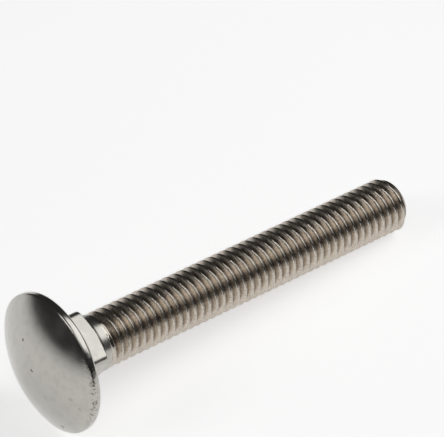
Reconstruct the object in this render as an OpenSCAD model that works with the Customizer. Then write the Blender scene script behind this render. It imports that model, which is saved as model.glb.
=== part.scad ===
// Carriage bolt: domed round head, square neck, fully threaded shank.
// Built on its own axis with the underside of the head at z = 0 and the tip
// at z = bolt_l, then laid down on the rim of its head and its last thread.

/* [Thread] */
// Nominal diameter of the thread and of the plain collar above it
thread_d = 8; // [7:0.5:10]
// How far the rolled crests lie inside the nominal radius
crest_clearance = 0.06; // [0.02:0.01:0.1]
// Distance from one crest to the next
pitch = 1.25; // [1:0.25:1.5]
// Length from the underside of the head to the tip
bolt_l = 59.2; // [30:0.1:70]
// Length over which the thread rises to its full depth
runout_l = 1.2; // [0.8:0.1:3]
// How far the flat end of the tip lies inside the root of the thread
tip_inset = 0.18; // [0:0.02:0.3]
// Turn from the side that lies on the floor to where the last crest ends
thread_turn = 300; // [0:5:355]

/* [Head] */
// Diameter over the rim
head_d = 20; // [18:0.2:24]
// Height from the underside to the top of the dome
head_h = 4.4; // [3.6:0.1:5.6]
// Height of the rim, from the underside to the edge where the dome begins
rim_h = 1.25; // [1.1:0.05:1.6]
// Radius of that edge
edge_r = 0.12; // [0.05:0.01:0.3]
// Radius of the round between the rim and the underside
rim_r = 0.5; // [0.4:0.05:0.7]
// Number of fine steps from the underside down to that round
steps = 3; // [1:1:4]
// Width of each step
step_w = 0.55; // [0.3:0.05:0.8]
// Depth of each step
step_h = 0.07; // [0.03:0.01:0.1]

/* [Square neck] */
// Width across the flats
neck_w = 8.2; // [7.6:0.1:9]
// Length of the neck below the head
neck_l = 4.9; // [3:0.1:7]
// Radius of its four long corners
neck_corner_r = 1; // [0.3:0.1:1.2]
// Length of the sloping end of those corners
neck_end_l = 0.55; // [0.3:0.05:1]
// Height and width of the fillet under the head
foot = 0.45; // [0.2:0.05:0.8]
// Turn of the square about the axis of the bolt
neck_turn = 26; // [0:1:89]
// Length of the plain round collar between the neck and the thread
collar_l = 1.3; // [1:0.1:6]

/* [Hidden] */

STEEL = [0.71, 0.68, 0.64];
$fn = 96;

// Sides of the thread in one turn, and rows of its surface from one crest to the next
sides = 24;
turn_rows = 4;
// Depth of the root of a metric thread over its pitch
root_share = 0.6134;
// How far the neck reaches into the head, and the threaded rod into the collar
joint_l = 0.6;
// Overlap that keeps a cut or a join clear of a shared face
eps = 0.05;

// Metric thread: flanks at 60 degrees to each other, crests an eighth of a pitch wide
flank_angle = 30;
crest_w = pitch / 8;
thread_h = root_share * pitch;
flank_w = thread_h * tan(flank_angle);
crest_r = thread_d / 2 - crest_clearance;
tip_r = crest_r - thread_h - tip_inset;
tip_l = crest_r - tip_r;
thread_start = neck_l + collar_l;

// Middle of the last whole crest on the side that lies on the floor
crest_at = bolt_l - tip_l - crest_w / 2 - pitch * thread_turn / 360;

// Centres of the two rounds of the rim: that of the edge lies rim_h below the
// underside, and that under the rim is touched by the lowest step
head_r = head_d / 2;
edge_c = head_r - edge_r;
rim_c = head_r - rim_r;
rim_z = rim_r + steps * step_h;

// The dome is a sphere that runs into the round of the edge
dome_h = head_h - rim_h;
dome_r = (pow(edge_c, 2) + pow(dome_h, 2) - pow(edge_r, 2)) / (2 * (dome_h - edge_r));

// At rest the floor touches the round of the rim and the last crest of the thread
rest_rise = rim_c - crest_r;
rest_run = crest_at + crest_w / 2 + rim_z;
rest_tilt = atan(rest_rise / rest_run) + asin(rim_r / norm([rest_rise, rest_run]));
rest_lift = cos(rest_tilt) * rim_c - sin(rest_tilt) * rim_z + rim_r;
x_low = cos(rest_tilt) * (dome_r - head_h) - dome_r;
x_high = cos(rest_tilt) * bolt_l + sin(rest_tilt) * tip_r;

// Half of the section through the head, from the dome to the flat underside
module head_section() {
    // The dome is cut off where it meets the round of its edge
    meet = dome_r / (dome_r - edge_r);
    intersection() {
        translate([0, dome_r - head_h])
            circle(dome_r);
        translate([0, -head_h])
            square([edge_c * meet, dome_h]);
    }
    translate([edge_c, -rim_h])
        circle(edge_r);
    translate([0, -rim_h])
        square([head_r, rim_h - rim_z]);
    translate([rim_c, -rim_z])
        circle(rim_r);
    // The steps, the widest of them lowest
    for (i = [0:steps])
        translate([0, -rim_z])
            square([rim_c - i * step_w, rim_z - (steps - i) * step_h]);
}

module head() {
    rotate_extrude()
        intersection() {
            head_section();
            translate([0, -head_h])
                square([head_r, head_h]);
        }
}

// Square with round corners, centred on the axis
module neck_section(w) {
    half = w / 2 - neck_corner_r;
    square([w, 2 * half], center = true);
    square([2 * half, w], center = true);
    for (x = [-half, half], y = [-half, half])
        translate([x, y])
            circle(neck_corner_r);
}

module neck() {
    corner_r = neck_w / sqrt(2);
    rotate(neck_turn) {
        // The corners slope down to the collar at their end
        intersection() {
            translate([0, 0, -joint_l])
                linear_extrude(neck_l + joint_l)
                    neck_section(neck_w);
            union() {
                translate([0, 0, -joint_l])
                    cylinder(r = corner_r, h = neck_l + joint_l - neck_end_l);
                translate([0, 0, neck_l - neck_end_l])
                    cylinder(r1 = corner_r, r2 = thread_d / 2 - eps, h = neck_end_l);
            }
        }
        // Fillet between the flats and the underside
        foot_w = neck_w + 2 * foot;
        translate([0, 0, -eps])
            linear_extrude(foot + 2 * eps, scale = (neck_w - 2 * eps) / foot_w)
                neck_section(foot_w);
    }
}

module collar() {
    cylinder(d = thread_d, h = thread_start);
}

// Rows of the thread surface follow the helix, four to a turn: the two edges
// of the crest and the two edges of the root. Row i of column j lies at the
// height row_z(j, i), cut off at the two ends of the rod.
row_at = [
    -crest_w / 2,
    crest_w / 2,
    crest_w / 2 + flank_w,
    pitch - crest_w / 2 - flank_w
];
rod_low = thread_start - joint_l;
turns_below = ceil((crest_at - rod_low) / pitch) + 2;
turns = turns_below + ceil((bolt_l - crest_at) / pitch) + 2;
rows = turn_rows * turns;

function row_z(j, i) =
    crest_at + row_at[i % turn_rows] + pitch * (floor(i / turn_rows) - turns_below + j / sides);
function cut_z(z) = max(rod_low, min(bolt_l, z));
function root_depth(z) = thread_h * max(0, min(1, (z - thread_start) / runout_l));
function row_r(i, z) = min(crest_r - (i % turn_rows < 2 ? 0 : root_depth(z)), tip_r + bolt_l - z);
function thread_point(j, i) =
    let (z = cut_z(row_z(j, i)), r = row_r(i, z), a = 360 * j / sides)
    [r * cos(a), r * sin(a), z];

// First and last row of each column that the rod still has
first_row = [for (j = [0:sides - 1]) len([for (i = [0:rows - 1]) if (row_z(j, i) <= rod_low) i]) - 1];
last_row = [for (j = [0:sides - 1]) rows - len([for (i = [0:rows - 1]) if (row_z(j, i) >= bolt_l) i])];

// A whole turn leads back to the first column, one turn further up
function thread_index(j, i) =
    j == sides
    ? thread_index(0, i + turn_rows)
    : j * rows + max(first_row[j], min(last_row[j], i));

module thread() {
    points = [for (j = [0:sides - 1], i = [0:rows - 1]) thread_point(j, i)];
    low_centre = len(points);
    high_centre = low_centre + 1;
    walls = [
        for (j = [0:sides - 1], i = [0:rows - turn_rows - 2])
            let (
                a = thread_index(j, i),
                b = thread_index(j + 1, i),
                c = thread_index(j + 1, i + 1),
                d = thread_index(j, i + 1)
            )
            each [
                if (a != d && b != c) each [[a, d, c], [a, c, b]],
                if (a != d && b == c) [a, d, b],
                if (a == d && b != c) [a, c, b]
            ]
    ];
    ends = [
        for (j = [0:sides - 1])
            each [
                [low_centre, thread_index(j, 0), thread_index(j + 1, 0)],
                [high_centre, thread_index(j + 1, rows), thread_index(j, rows)]
            ]
    ];
    polyhedron(
        points = concat(points, [[0, 0, rod_low], [0, 0, bolt_l]]),
        faces = concat(walls, ends)
    );
}

module carriage_bolt() {
    color(STEEL)
        translate([-(x_low + x_high) / 2, 0, rest_lift])
            rotate([0, 90 + rest_tilt, 0])
                union() {
                    head();
                    neck();
                    collar();
                    thread();
                }
}

carriage_bolt();
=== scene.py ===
import math

import bpy
import numpy as np
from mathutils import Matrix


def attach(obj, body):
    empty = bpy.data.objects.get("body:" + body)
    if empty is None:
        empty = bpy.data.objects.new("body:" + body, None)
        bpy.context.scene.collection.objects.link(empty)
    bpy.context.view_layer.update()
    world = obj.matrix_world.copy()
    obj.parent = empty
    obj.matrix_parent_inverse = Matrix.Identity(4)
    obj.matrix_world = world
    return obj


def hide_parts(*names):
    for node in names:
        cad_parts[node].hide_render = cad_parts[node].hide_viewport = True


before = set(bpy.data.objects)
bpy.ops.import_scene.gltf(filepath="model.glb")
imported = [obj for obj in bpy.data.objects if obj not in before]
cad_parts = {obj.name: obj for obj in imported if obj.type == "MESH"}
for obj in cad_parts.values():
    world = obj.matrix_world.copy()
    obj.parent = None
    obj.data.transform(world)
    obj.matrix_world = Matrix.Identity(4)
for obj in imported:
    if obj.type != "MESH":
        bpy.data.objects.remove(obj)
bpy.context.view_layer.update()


# The bolt: one length of stainless steel wire, cold headed into the domed
# head and the square neck, then rolled between flat dies for the thread and
# tumbled bright. It lies on the rim of its head and on its last thread.

MM = 0.001

THREAD_D = 8.0
CREST_CLEARANCE = 0.06
PITCH = 1.25
BOLT_L = 59.2
RUNOUT_L = 1.2
TIP_INSET = 0.18
THREAD_TURN = 300.0

HEAD_D = 20.0
HEAD_H = 4.4
RIM_H = 1.25
EDGE_R = 0.12
RIM_R = 0.5
STEPS = 3
STEP_W = 0.55
STEP_H = 0.07

NECK_W = 8.2
NECK_L = 4.9
NECK_CORNER_R = 1.0
NECK_END_L = 0.55
FOOT = 0.45
NECK_TURN = 26.0
COLLAR_L = 1.3

# A metric thread: the root's depth as a share of the pitch, and the width of the
# flat crest that the CAD has
ROOT_SHARE = 0.6134
CREST_W = PITCH / 8
THREAD_H = ROOT_SHARE * PITCH
CREST_R = THREAD_D / 2 - CREST_CLEARANCE
TIP_R = CREST_R - THREAD_H - TIP_INSET
TIP_L = CREST_R - TIP_R
THREAD_START = NECK_L + COLLAR_L
CREST_AT = BOLT_L - TIP_L - CREST_W / 2 - PITCH * THREAD_TURN / 360

HEAD_R = HEAD_D / 2
EDGE_C = HEAD_R - EDGE_R
RIM_C = HEAD_R - RIM_R
RIM_Z = RIM_R + STEPS * STEP_H
DOME_H = HEAD_H - RIM_H
DOME_R = (EDGE_C**2 + DOME_H**2 - EDGE_R**2) / (2 * (DOME_H - EDGE_R))

# Tumbling has rounded the edge of the dome: a larger circle, just inside the
# sharper one, that still touches the dome and the straight rim
WORN_EDGE_R = 0.3
WORN_EDGE_C = HEAD_R - WORN_EDGE_R
WORN_EDGE_Z = DOME_R - HEAD_H - math.sqrt((DOME_R - WORN_EDGE_R) ** 2 - WORN_EDGE_C**2)

# The same rest as the CAD, for a floor that touches the round rim and the last
# whole crest. The next crest, which the cone of the tip cuts, lies 0.07 mm lower.
REST_RISE = RIM_C - CREST_R
REST_RUN = CREST_AT + CREST_W / 2 + RIM_Z
REST_TILT = math.atan(REST_RISE / REST_RUN) + math.asin(RIM_R / math.hypot(REST_RISE, REST_RUN))
REST_LIFT = math.cos(REST_TILT) * RIM_C - math.sin(REST_TILT) * RIM_Z + RIM_R
X_LOW = math.cos(REST_TILT) * (DOME_R - HEAD_H) - DOME_R
X_HIGH = math.cos(REST_TILT) * BOLT_L + math.sin(REST_TILT) * TIP_R

# Columns of the mesh along one flat of the neck and round one of its corners,
# and rows on each form of the head and the neck
FLAT_COLUMNS = 18
CORNER_COLUMNS = 9
DOME_ROWS = 43
EDGE_ROWS = 11
RIM_ROWS = 3
UNDER_RIM_ROWS = 13
FOOT_ROWS = 9
FLAT_ROWS = 4
NECK_END_ROWS = 14
COLLAR_ROWS = 4

# Distances from the end of the neck, where the rows down its flats stop and
# where the close ones at its end start, and from the two ends of the collar
FLAT_ROWS_TO = 0.9
NECK_END_ROWS_FROM = 0.8
COLLAR_ROWS_FROM = 0.3
COLLAR_ROWS_TO = 0.04

# Small rounds: on each step under the head, and where the corners of the neck
# run out, which fades over a short way to the collar
STEP_BEVEL = 0.02
NECK_END_SOFT = 0.16
NECK_END_FADE = 0.1

# The die leaves a fine groove where the collar starts: height and depth
COLLAR_GROOVE = ((0.05, 0.1), (0.12, 0.12), (0.2, 0.03), (0.26, 0))

# Places along one turn of the thread, as a share of the pitch from the middle
# of a crest, and the depth there: round crest, straight flank, round root
CREST_AND_ROOT = np.array([
    (0, 0), (0.045, 0.004), (0.062, 0.02), (0.08, 0.055), (0.105, 0.12),
    (0.36, 0.83), (0.4, 0.93), (0.44, 0.99), (0.56, 0.99), (0.6, 0.93), (0.64, 0.83),
    (0.895, 0.12), (0.92, 0.055), (0.938, 0.02), (0.955, 0.004),
])

# The end of the tip: rings from its round edge inwards as shares of its radius,
# how far each is sunk, and the faint step that the shears left across it
TIP_RINGS = ((0.97, 0.0), (0.9, 0.02), (0.75, 0.04), (0.55, 0.05), (0.3, 0.055))
TIP_MIDDLE_SUNK = 0.1
SHEARED_H = 0.06
SHEARED_AT = 0.4
SHEARED_SLOPE = 9


def laid_down(p):
    """Points on the bolt's own axis, in mm, turned about Y until the axis
    slopes down to the tip by REST_TILT, centred and lifted to the floor, in m."""
    c, s = math.cos(REST_TILT), math.sin(REST_TILT)
    x = -s * p[:, 0] + c * p[:, 2] - (X_LOW + X_HIGH) / 2
    z = -c * p[:, 0] - s * p[:, 2] + REST_LIFT
    return np.stack([x, p[:, 1], z], axis=1) * MM


def column_angles():
    """Angles of the columns round the axis: even along each flat of the
    square neck and close together round each of its four corners."""
    half = NECK_W / 2
    edge = math.degrees(math.atan((half - NECK_CORNER_R) / half))
    flat = np.linspace(-edge, edge, FLAT_COLUMNS)
    corner = np.linspace(edge, 90 - edge, CORNER_COLUMNS + 2)[1:-1]
    quarter = np.concatenate([flat, corner])
    turns = NECK_TURN + 90 * np.arange(4)
    return np.sort(np.radians((quarter[None, :] + turns[:, None]).ravel() % 360))


def square_radius(phi, width):
    """Distance from the axis to a square with round corners: width / 2 over the
    cosine along a flat, and the far crossing of the corner's circle elsewhere."""
    psi = (phi - math.radians(NECK_TURN) + math.pi / 4) % (math.pi / 2) - math.pi / 4
    c, s = np.cos(psi), np.abs(np.sin(psi))
    half = width / 2
    centre = half - NECK_CORNER_R
    inside = np.maximum(NECK_CORNER_R**2 - centre**2 * (c - s) ** 2, 0)
    return np.where(s / c * half <= centre, half / c, centre * (c + s) + np.sqrt(inside))


def softer_of(a, b, soft):
    """The smaller of two radii, rounded where they cross: half of their sum, less
    half the root of their difference squared plus the width soft squared."""
    return (a + b - np.sqrt((a - b) ** 2 + soft**2)) / 2


def head_rings(phi):
    """Rings from the top of the dome to the foot of the neck: the dome's
    sphere, the round of its edge, the straight rim, the round under the rim,
    then the fine steps up to the flat underside. A ring of a round lies its
    radius times sin t out from its centre and times cos t towards the dome."""
    one = np.ones_like(phi)
    edge_at = math.asin(WORN_EDGE_C / (DOME_R - WORN_EDGE_R))
    rings = []
    for t in edge_at * np.linspace(0, 1, DOME_ROWS + 1)[1:]:
        rings.append((DOME_R * math.sin(t) * one, (DOME_R - HEAD_H - DOME_R * math.cos(t)) * one))
    for t in np.linspace(edge_at, math.pi / 2, EDGE_ROWS + 1)[1:]:
        r = WORN_EDGE_C + WORN_EDGE_R * math.sin(t)
        rings.append((r * one, (WORN_EDGE_Z - WORN_EDGE_R * math.cos(t)) * one))
    for z in np.linspace(WORN_EDGE_Z, -RIM_Z, RIM_ROWS + 2)[1:-1]:
        rings.append((HEAD_R * one, z * one))
    for t in np.linspace(math.pi / 2, math.pi, UNDER_RIM_ROWS):
        rings.append(((RIM_C + RIM_R * math.sin(t)) * one, (-RIM_Z - RIM_R * math.cos(t)) * one))
    for i in range(1, STEPS + 1):
        r = RIM_C - i * STEP_W
        z = (i - STEPS) * STEP_H
        rings.append((r * one, (z - STEP_H) * one))
        rings.append((r * one, (z - STEP_BEVEL) * one))
        rings.append(((r - STEP_BEVEL) * one, z * one))
    inner = RIM_C - STEPS * STEP_W - STEP_BEVEL
    foot_r = square_radius(phi, NECK_W) + FOOT
    for t in (0.25, 0.5, 0.75):
        rings.append((inner + (foot_r - inner) * t, 0 * one))
    return rings


def neck_rings(phi):
    """Rings from the fillet under the head to the end of the collar: a hollow
    quarter round, the square, and a cone that takes its corners off as it
    narrows evenly from their radius to the collar's."""
    one = np.ones_like(phi)
    square = square_radius(phi, NECK_W)
    collar_r = THREAD_D / 2
    rings = []
    for t in np.linspace(0, math.pi / 2, FOOT_ROWS):
        rings.append((square + FOOT * (1 - math.sin(t)), FOOT * (1 - math.cos(t)) * one))
    corner_r = NECK_W / math.sqrt(2)
    along_flats = np.linspace(FOOT, NECK_L - FLAT_ROWS_TO, FLAT_ROWS + 1)[1:]
    along_end = np.linspace(NECK_L - NECK_END_ROWS_FROM, NECK_L, NECK_END_ROWS)
    for z in np.concatenate([along_flats, along_end]):
        down = corner_r + (z - NECK_L + NECK_END_L) * (collar_r - corner_r) / NECK_END_L
        soft = NECK_END_SOFT * min(1, (NECK_L - z) / NECK_END_FADE)
        rings.append((np.maximum(softer_of(square, down, soft), collar_r), z * one))
    for rise, sink in COLLAR_GROOVE:
        rings.append(((collar_r - sink) * one, (NECK_L + rise) * one))
    collar_from, collar_to = NECK_L + COLLAR_ROWS_FROM, THREAD_START - COLLAR_ROWS_TO
    for z in np.linspace(collar_from, collar_to, COLLAR_ROWS):
        rings.append((collar_r * one, z * one))
    return rings


def thread_grid(phi):
    """The thread as rows that follow the helix. Row i of the column at angle a
    stands at crest + pitch * (turn + a / full turn), cut off at both ends, with
    its depth run out towards the collar and its radius capped by the tip's cone."""
    row_at, row_deep = CREST_AND_ROOT.T
    below = math.ceil((CREST_AT - THREAD_START) / PITCH) + 2
    turns = below + math.ceil((BOLT_L - CREST_AT) / PITCH) + 2
    turn = np.arange(turns) - below
    row_z = CREST_AT + PITCH * (turn[:, None] + row_at[None, :]).ravel()
    deep = np.tile(row_deep, turns)
    z = row_z[None, :] + PITCH * phi[:, None] / (2 * math.pi)
    first = (z <= THREAD_START).sum(axis=1) - 1
    last = z.shape[1] - (z >= BOLT_L).sum(axis=1)
    z = np.clip(z, THREAD_START, BOLT_L)
    run_out = np.clip((z - THREAD_START) / RUNOUT_L, 0, 1)
    r = np.minimum(CREST_R - THREAD_H * deep[None, :] * run_out, TIP_R + BOLT_L - z)
    return r, z, first, last


def on_circle(r, z, phi):
    """Points r times cos phi and r times sin phi off the axis, at height z."""
    return np.stack([r * np.cos(phi), r * np.sin(phi), z], axis=-1)


def bolt_mesh():
    """All rings and the thread's grid in one closed surface: each ring joined
    to the next, the thread's first and last rows to their neighbours, and a
    point at each end of the axis."""
    phi = column_angles()
    n = len(phi)
    rings = head_rings(phi) + neck_rings(phi)
    ring_points = np.concatenate([on_circle(r, z, phi) for r, z in rings])
    r, z, first, last = thread_grid(phi)
    rows = z.shape[1]
    thread_points = on_circle(r, z, phi[:, None]).reshape(-1, 3)

    # The sheared step crosses all of the flat end but not its round edge
    tip_points = []
    for share, sink in TIP_RINGS:
        x = share * TIP_R * np.cos(phi)
        sheared = SHEARED_H / (1 + np.exp((x - SHEARED_AT) * SHEARED_SLOPE))
        sheared *= share < TIP_RINGS[0][0]
        tip_points.append(on_circle(share * TIP_R, BOLT_L - sink - sheared, phi))
    ends = np.array([[0, 0, -HEAD_H], [0, 0, BOLT_L - TIP_MIDDLE_SUNK]])
    points = np.concatenate([ring_points, thread_points, *tip_points, ends])

    here = np.arange(n)
    there = (here + 1) % n
    quads, tris = [], []

    def join(low, high):
        """Four-cornered faces between two rings of points."""
        quads.append(np.stack([low[here], low[there], high[there], high[here]], axis=1))

    for i in range(len(rings) - 1):
        join(i * n + here, (i + 1) * n + here)
    at_thread = len(rings) * n
    join(at_thread - n + here, at_thread + here * rows + first)

    # A whole turn leads back to the first column, one turn further up
    per_turn = len(CREST_AND_ROOT)
    row = np.arange(rows)
    index = at_thread + here[:, None] * rows + np.clip(row[None, :], first[:, None], last[:, None])
    seam = at_thread + np.clip(row + per_turn, first[0], last[0])
    index = np.vstack([index, seam[None, :]])
    a = index[:-1, :-1 - per_turn]
    b = index[1:, :-1 - per_turn]
    c = index[1:, 1:-per_turn]
    d = index[:-1, 1:-per_turn]
    whole = (a != d) & (b != c)
    quads.append(np.stack([a[whole], b[whole], c[whole], d[whole]], axis=1))
    left = (a != d) & (b == c)
    tris.append(np.stack([a[left], b[left], d[left]], axis=1))
    right = (a == d) & (b != c)
    tris.append(np.stack([a[right], b[right], c[right]], axis=1))

    at_tip = at_thread + n * rows
    join(at_thread + here * rows + last, at_tip + here)
    for i in range(len(TIP_RINGS) - 1):
        join(at_tip + i * n + here, at_tip + (i + 1) * n + here)
    dome_top = len(points) - 2
    tip_middle = len(points) - 1
    inmost = tip_middle - 1 - n
    tris.append(np.stack([np.full(n, dome_top), there, here], axis=1))
    tris.append(np.stack([inmost + here, inmost + there, np.full(n, tip_middle)], axis=1))

    # Only the points that a face uses are kept
    quads = np.concatenate(quads)
    tris = np.concatenate(tris)
    used, flat = np.unique(np.concatenate([quads.ravel(), tris.ravel()]), return_inverse=True)
    quads = flat[:quads.size].reshape(-1, 4)
    tris = flat[quads.size:].reshape(-1, 3)
    return points[used], quads, tris


local, quads, tris = bolt_mesh()
corners = np.concatenate([quads.ravel(), tris.ravel()])
sizes = np.concatenate([np.full(len(quads), 4), np.full(len(tris), 3)])
mesh = bpy.data.meshes.new("carriage_bolt_steel")
mesh.vertices.add(len(local))
mesh.vertices.foreach_set("co", laid_down(local).astype(np.float32).ravel())
mesh.loops.add(len(corners))
mesh.loops.foreach_set("vertex_index", corners.astype(np.int32))
mesh.polygons.add(len(sizes))
mesh.polygons.foreach_set("loop_start", (np.cumsum(sizes) - sizes).astype(np.int32))
mesh.update(calc_edges=True)
mesh.validate()
SHARP_FROM = 50
mesh.shade_smooth()
mesh.set_sharp_from_angle(angle=math.radians(SHARP_FROM))

# Where the edge of the head has been knocked about: a band along a quarter of
# it, strongest in the middle. The band's angle and spread are in degrees. It
# starts at a distance from the axis and grows outwards and towards the dome.
KNOCKED_AT = -100
KNOCKED_SPREAD = 32
KNOCKED_FROM_R = 9.3
KNOCKED_GROWS_OUT = 0.4
KNOCKED_GROWS_ALONG = 0.2
radius = np.hypot(local[:, 0], local[:, 1])
around = np.degrees(np.arctan2(local[:, 1], local[:, 0]))
outwards = np.clip((radius - KNOCKED_FROM_R) / KNOCKED_GROWS_OUT, 0, 1)
to_dome = np.clip((-RIM_Z - local[:, 2]) / KNOCKED_GROWS_ALONG, 0, 1)
knocked = outwards * to_dome * np.exp(-(((around - KNOCKED_AT) / KNOCKED_SPREAD) ** 4))

# What the steel's finish follows, at each point: the height along the axis and
# the distance from it in mm, how deep in the groove of the thread it lies, from
# 0 on a crest to 1, and that knocked band
groove_depth = np.clip((CREST_R - radius) / THREAD_H, 0, 1) * (local[:, 2] > THREAD_START)
for label, values in (
    ("along", local[:, 2]),
    ("groove", groove_depth),
    ("out_from_axis", radius),
    ("worn_edge", knocked),
):
    layer = mesh.attributes.new(label, "FLOAT", "POINT")
    layer.data.foreach_set("value", values.astype(np.float32))

bolt = bpy.data.objects.new("bolt_steel", mesh)
bpy.context.scene.collection.objects.link(bolt)

steel = bpy.data.materials.new("stainless_steel_with_painted_light")
steel.use_nodes = True
tree = steel.node_tree
shader = tree.nodes["Principled BSDF"]
shader.inputs["Metallic"].default_value = 1


def node(kind, **values):
    """A new node of the material in hand, with its inputs and settings."""
    made = tree.nodes.new(kind)
    for name, value in values.items():
        label = name.replace("_", " ")
        if label in made.inputs:
            made.inputs[label].default_value = value
        else:
            setattr(made, name, value)
    return made


def link(out, to):
    """A link from one node's output to another's input."""
    tree.links.new(out, to)


def ramp(value, low, high, from_value, to_value):
    """A value read between two limits, as a smooth step between two levels."""
    made = node("ShaderNodeMapRange", interpolation_type="SMOOTHSTEP", From_Min=low,
                From_Max=high, To_Min=from_value, To_Max=to_value)
    link(value, made.inputs["Value"])
    return made.outputs["Result"]


def maths(operation, a, b):
    """Two values put together, where either may be a plain number."""
    made = node("ShaderNodeMath", operation=operation)
    for socket, value in zip(made.inputs, (a, b)):
        if isinstance(value, (int, float)):
            socket.default_value = value
        else:
            link(value, socket)
    return made.outputs["Value"]


def mottled(noise_value, low, high):
    """A level that follows a noise over most of its range."""
    return ramp(noise_value, 0.3, 0.7, low, high)


def blended(share, a, b):
    """One value at a share of 0, the other at 1."""
    made = node("ShaderNodeMix", data_type="FLOAT")
    for socket, value in zip(made.inputs, (share, None, a, b)):
        if value is not None:
            link(value, socket)
    return made.outputs[0]


def attribute(name):
    """One of the values kept at the points of the mesh."""
    return node("ShaderNodeAttribute", attribute_name=name).outputs["Fac"]


def noise(scale, detail, roughness):
    """Noise on the object's own coordinates, with this many cells to a metre."""
    made = node("ShaderNodeTexNoise", Scale=scale, Detail=detail, Roughness=roughness)
    link(place, made.inputs["Vector"])
    return made.outputs["Fac"]


place = node("ShaderNodeTexCoord").outputs["Object"]
along_axis = attribute("along")
in_groove = attribute("groove")
across_axis = attribute("out_from_axis")
worn_edge = attribute("worn_edge")
cloudy = noise(420.0, 3.0, 0.55)
grainy = noise(5200.0, 3.0, 0.6)
speckled = noise(3800.0, 3.0, 0.6)
nicked = noise(2300.0, 2.0, 0.6)
streaky = noise(800.0, 4.0, 0.6)

# The forms of the bolt, each from 0 off it to 1 on it. The flat end of the tip
# is bare like the head.
on_head = ramp(along_axis, -0.3, 0.0, 1, 0)
on_dome = maths("MULTIPLY", on_head, ramp(across_axis, 8.6, 9.75, 1, 0))
past_collar = ramp(along_axis, THREAD_START - 0.3, THREAD_START + 0.3, 0, 1)
outside_tip_end = ramp(across_axis, TIP_R - 0.05, TIP_R + 0.05, 0, 1)
on_thread = maths("MULTIPLY", past_collar, outside_tip_end)

# The share of a pit's size that is as deep as its middle
PIT_FLOOR = 0.35


def pit(across, turn, size):
    """How near a point lies to a pit in the dome: 1 on its floor and 0 beyond its
    size, with the distance to it made ragged by the grain. The pit is given by
    its distance from the axis in mm, its angle in degrees and its size in mm."""
    a = math.radians(turn)
    top = DOME_R - HEAD_H - math.sqrt(DOME_R**2 - across**2)
    spot = laid_down(np.array([[across * math.cos(a), across * math.sin(a), top]]))[0]
    away = node("ShaderNodeVectorMath", operation="DISTANCE")
    link(place, away.inputs[0])
    away.inputs[1].default_value = spot.tolist()
    ragged = maths("MULTIPLY", away.outputs["Value"], mottled(grainy, 0.6, 1.5))
    return ramp(ragged, PIT_FLOOR * size * MM, size * MM, 1, 0)


def deepest(pits):
    """The deepest of several pits at each point."""
    deep, *others = [pit(*one) for one in pits]
    for other in others:
        deep = maths("MAXIMUM", deep, other)
    return deep


# Two deep pits, one nick at the rim and some shallow marks from the tumbling
DEEP_PITS = ((0.55, -158, 0.3), (4.45, 143, 0.26), (8.68, -32.5, 0.26))
SHALLOW_MARKS = ((6.92, -88, 0.5), (3.83, -51, 0.35), (8.26, -80, 0.45))
SHALLOW_SHARE = 0.22
marks = maths("MULTIPLY", deepest(SHALLOW_MARKS), SHALLOW_SHARE)
pitted = maths("MAXIMUM", deepest(DEEP_PITS), marks)

# Bare steel, browner on the thread and most so down in its grooves, where the extra, lighter brown
# is painted warm bounce light
BARE_STEEL = (0.485, 0.472, 0.435, 1)
BROWN_STEEL_AND_PAINTED_BOUNCE = (0.65, 0.58, 0.50, 1)
colour = node("ShaderNodeMix", data_type="RGBA")
colour.inputs[6].default_value = BARE_STEEL
colour.inputs[7].default_value = BROWN_STEEL_AND_PAINTED_BOUNCE
# More of the lighter brown deeper in the grooves: painted warm bounce light
link(maths("MULTIPLY", on_thread, ramp(in_groove, 0.0, 0.35, 0.6, 1)), colour.inputs[0])

# Dark in the pits and nicks, with a little dirt on the thread, painted shade down in
# its roots and faint smears all over
DIRT_AND_PAINTED_SHADE = (0.09, 0.07, 0.055, 1)
nicks = maths("MULTIPLY", worn_edge, ramp(nicked, 0.5, 0.62, 0, 1))
dark_spots = maths("MAXIMUM", maths("MULTIPLY", pitted, 0.85), maths("MULTIPLY", nicks, 0.7))
flecks = maths("MULTIPLY", on_thread, ramp(grainy, 0.44, 0.64, 0, 0.34))
# Darker down in the roots of the thread: painted shade
root = maths("MULTIPLY", on_thread, ramp(in_groove, 0.55, 0.95, 0, 0.42))
smears = ramp(streaky, 0.45, 0.7, 0, 0.1)
soiled_and_shaded = maths("ADD", maths("ADD", flecks, root), smears)
stained_and_shaded = node("ShaderNodeMix", data_type="RGBA")
stained_and_shaded.inputs[7].default_value = DIRT_AND_PAINTED_SHADE
link(maths("MAXIMUM", dark_spots, soiled_and_shaded), stained_and_shaded.inputs[0])
link(colour.outputs[2], stained_and_shaded.inputs[6])
link(stained_and_shaded.outputs[2], shader.inputs["Base Color"])

# How rough: bright on the edge of the head, rubbed a little duller on the dome,
# duller still from the neck to the collar, brightest on the crests of the
# thread and satin down in its grooves
neck_dullness = ramp(along_axis, 0.1, 0.5, 0, 0.12)
polished = maths("ADD", mottled(cloudy, 0.13, 0.2), neck_dullness)
rubbed = mottled(cloudy, 0.17, 0.23)
groove_dullness = ramp(in_groove, 0.05, 0.35, 0, 0.16)
satin = maths("ADD", mottled(speckled, 0.085, 0.165), groove_dullness)
rough = blended(on_thread, blended(on_dome, polished, rubbed), satin)
link(maths("ADD", rough, maths("MULTIPLY", pitted, 0.3)), shader.inputs["Roughness"])

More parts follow.
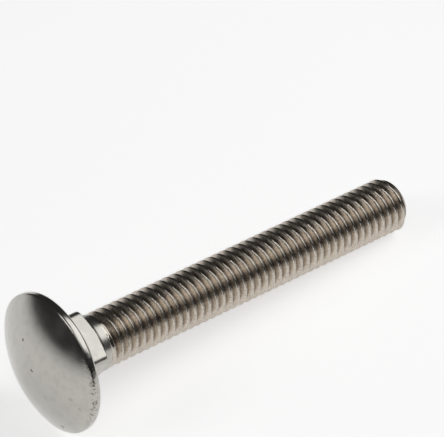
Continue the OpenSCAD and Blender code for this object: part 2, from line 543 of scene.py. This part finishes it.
# Fine grain all over, more than twice as strong on the thread, faint waves on
# the head, knocks along its worn edge, and the sink of the pits
grain = maths("MULTIPLY", grainy, maths("ADD", maths("MULTIPLY", on_thread, 0.5), 0.35))
waves = maths("MULTIPLY", cloudy, maths("MULTIPLY", on_head, 1.2))
knocks = maths("MULTIPLY", worn_edge, maths("MULTIPLY", nicked, 7.0))
raised = maths("ADD", maths("ADD", grain, waves), knocks)
bump = node("ShaderNodeBump", Strength=0.25, Distance=0.03 * MM)
link(maths("SUBTRACT", raised, maths("MULTIPLY", pitted, 2.5)), bump.inputs["Height"])
link(bump.outputs["Normal"], shader.inputs["Normal"])

mesh.materials.append(steel)
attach(bolt, "root")
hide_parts("carriage_bolt")


# The table that the bolt lies on: a round top with a pale, matt paint and a painted
# pool of light. It glows white round the bolt, to the camera and in the steel, keeps
# the bolt's shadow, and the painted light grows dimmer further out.

TABLE_R = 1.2
TABLE_CORNERS = 96
TABLE_COLOUR = (0.82, 0.82, 0.82, 1)
BRIGHT_OUT_TO = 0.06
DIM_FROM = 0.24
PAINTED_LIGHT_NEAR = 0.6
PAINTED_LIGHT_FAR = 0.1

# Points on a circle, in one flat face
corner_at = np.linspace(0, 2 * math.pi, TABLE_CORNERS + 1)[:-1]
table_points = TABLE_R * on_circle(1, 0 * corner_at, corner_at)
table_mesh = bpy.data.meshes.new("table")
table_mesh.from_pydata(table_points.tolist(), [], [list(range(TABLE_CORNERS))])
table = bpy.data.objects.new("table", table_mesh)
bpy.context.scene.collection.objects.link(table)

pale = bpy.data.materials.new("pale_table_with_painted_light")
pale.use_nodes = True
tree = pale.node_tree
matt = tree.nodes["Principled BSDF"]
matt.inputs["Base Color"].default_value = TABLE_COLOUR
matt.inputs["Roughness"].default_value = 0.9
matt.inputs["Specular IOR Level"].default_value = 0.0
matt.inputs["Emission Color"].default_value = (1, 1, 1, 1)
ray = node("ShaderNodeLightPath")
seen = maths("MAXIMUM", ray.outputs["Is Camera Ray"], ray.outputs["Is Glossy Ray"])
from_bolt = node("ShaderNodeVectorMath", operation="LENGTH")
link(node("ShaderNodeTexCoord").outputs["Object"], from_bolt.inputs[0])
# Painted pool of light: the table glows most round the bolt and less further out
painted_light_pool = ramp(from_bolt.outputs["Value"], BRIGHT_OUT_TO, DIM_FROM, PAINTED_LIGHT_NEAR, PAINTED_LIGHT_FAR)
link(maths("MULTIPLY", seen, painted_light_pool), matt.inputs["Emission Strength"])
table_mesh.materials.append(pale)


# A dim room with three soft boxes: a small one out past the dome, a large one
# out past the tip for the neck and the crests, and one above the camera for the
# flanks of the thread.

world = bpy.data.worlds.new("dim_room")
bpy.context.scene.world = world
world.use_nodes = True
room = world.node_tree.nodes["Background"]
room.inputs["Color"].default_value = (0.035, 0.035, 0.035, 1)
room.inputs["Strength"].default_value = 1


def soft_box(name, azimuth, elevation, distance, width, height, radiance):
    """A rectangular lamp that faces the bolt, as bright all over as a surface
    of that radiance: its power is radiance times its area times pi."""
    lamp = bpy.data.lights.new(name, "AREA")
    lamp.shape = "RECTANGLE"
    lamp.size = width
    lamp.size_y = height
    lamp.energy = radiance * width * height * math.pi
    holder = bpy.data.objects.new(name, lamp)
    a, e = math.radians(azimuth), math.radians(elevation)
    holder.location = (distance * math.cos(e) * math.cos(a),
                       distance * math.cos(e) * math.sin(a),
                       distance * math.sin(e))
    holder.rotation_euler = (math.pi / 2 - e, 0, a + math.pi / 2)
    bpy.context.scene.collection.objects.link(holder)


soft_box("left_box", 166, 37, 0.7, 0.26, 0.26, 2.8)
soft_box("right_box", -22, 46, 0.7, 0.6, 0.64, 1.6)
soft_box("front_box", -138, 60, 0.8, 0.46, 0.46, 1.0)


# The camera, at the photograph's angle and distance. It looks along its own
# azimuth and elevation without roll.

CAMERA_AZIMUTH = math.radians(-128.974)
CAMERA_ELEVATION = math.radians(43.582)
camera_data = bpy.data.cameras.new("camera")
camera_data.sensor_fit = "HORIZONTAL"
camera_data.sensor_width = 36
camera_data.lens = 289.455
camera_data.clip_start = 0.01
camera_data.clip_end = 10
camera = bpy.data.objects.new("camera", camera_data)
camera.location = (-0.217408, -0.269585, 0.348941)
camera.rotation_euler = (math.pi / 2 - CAMERA_ELEVATION, 0, CAMERA_AZIMUTH + math.pi / 2)
bpy.context.scene.collection.objects.link(camera)
bpy.context.scene.camera = camera

bpy.context.scene.view_settings.view_transform = "Standard"
